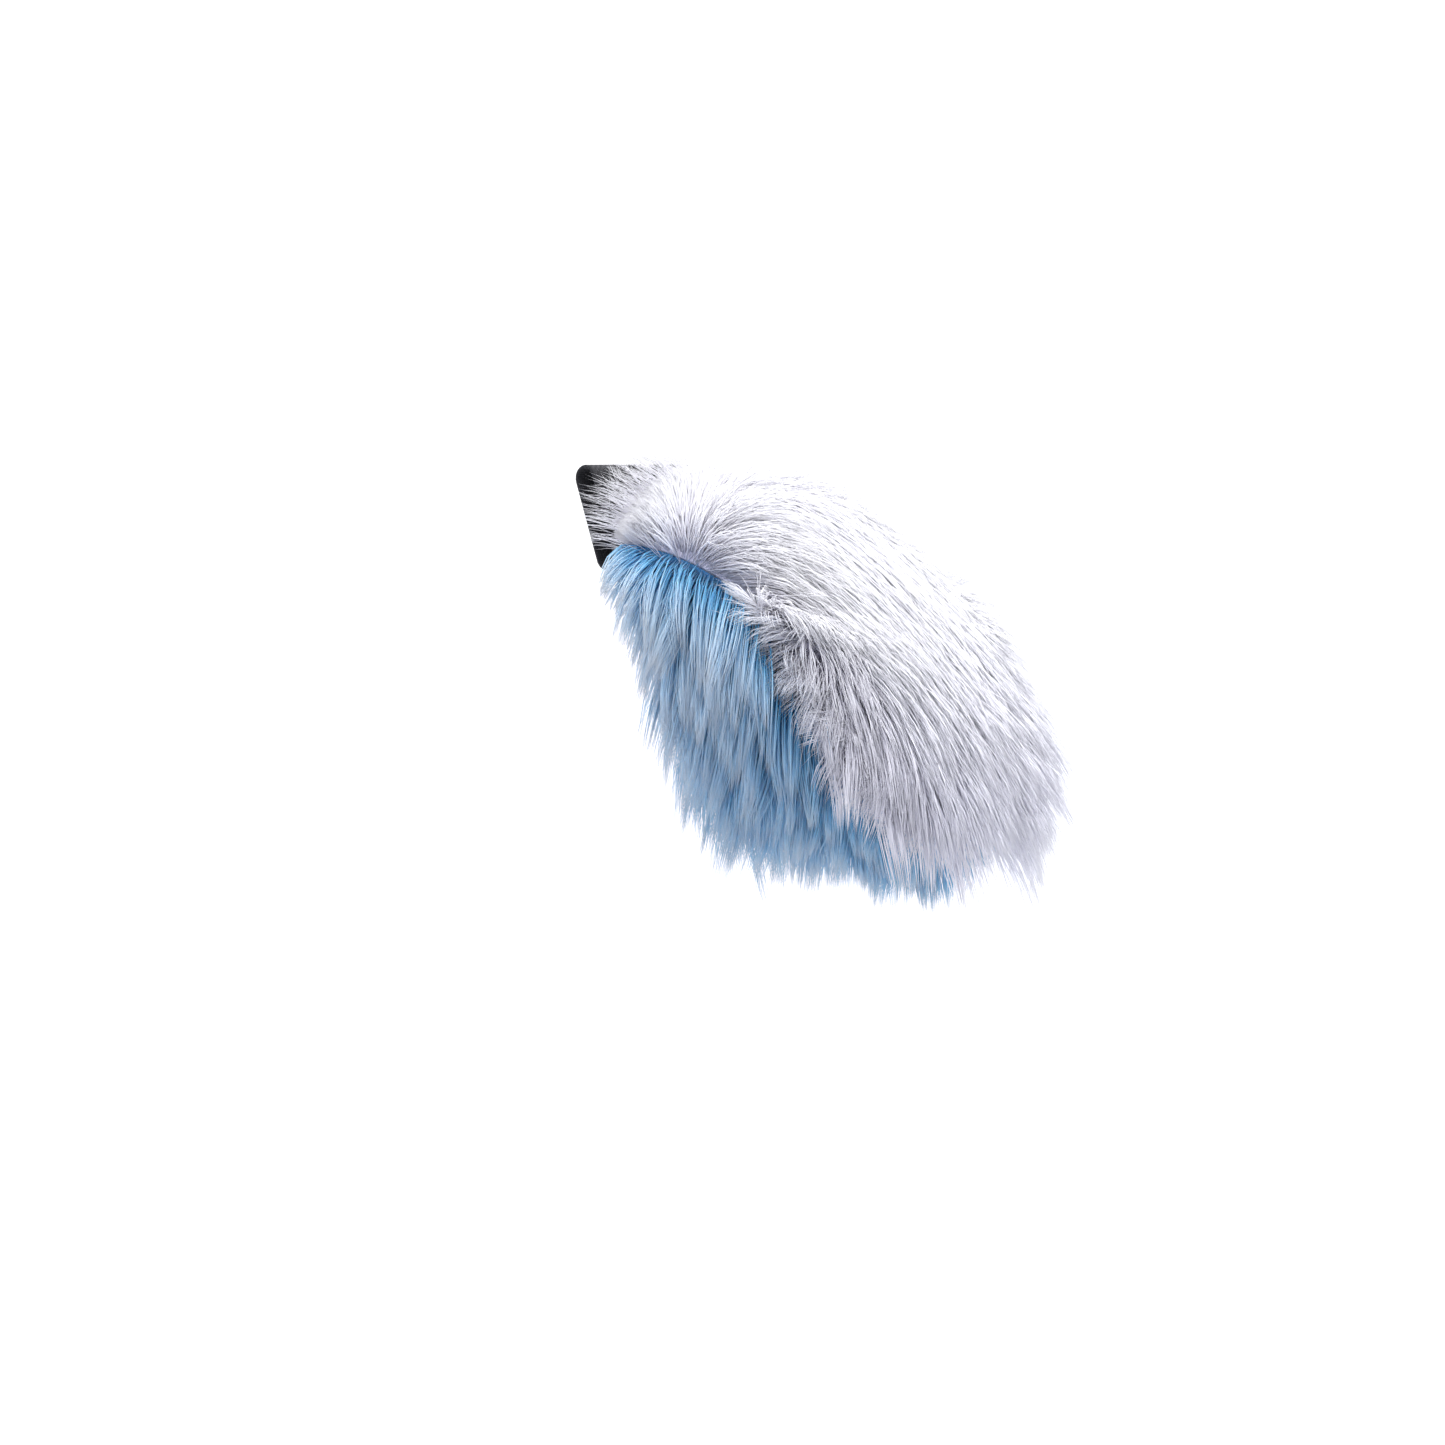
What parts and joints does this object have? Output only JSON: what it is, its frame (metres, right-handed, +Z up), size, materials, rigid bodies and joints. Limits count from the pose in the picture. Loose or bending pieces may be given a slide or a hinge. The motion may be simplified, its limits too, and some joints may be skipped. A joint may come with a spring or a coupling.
{
  "type": "costume animal tail",
  "caption": "Short stuffed costume tail of long-pile faux fur, pale above and sky blue below, with black webbing loops at its base for a belt.",
  "frame": {"origin": "middle of the belt's way through the loops, halfway between them", "axes": "+Z up as worn, -Y away from the wearer's back, +X across to the wearer's right; the base leans 20 degrees with the back"},
  "size_m": [0.1722, 0.2198, 0.203],
  "materials": {
    "lavender_white_fur": "long-pile faux fur, soft and matt",
    "sky_blue_fur": "long-pile faux fur, soft and matt, with paler tips",
    "white_fibre": "loose fibre stuffing",
    "black_cloth": "felted cloth",
    "black_webbing": "woven webbing"
  },
  "bodies": {
    "root": {"top_fur": "lavender_white_fur", "under_fur": "sky_blue_fur", "filling": "white_fibre", "base_panel": "black_cloth", "belt_loop_left": "black_webbing", "belt_loop_right": "black_webbing"}
  },
  "joints": []
}
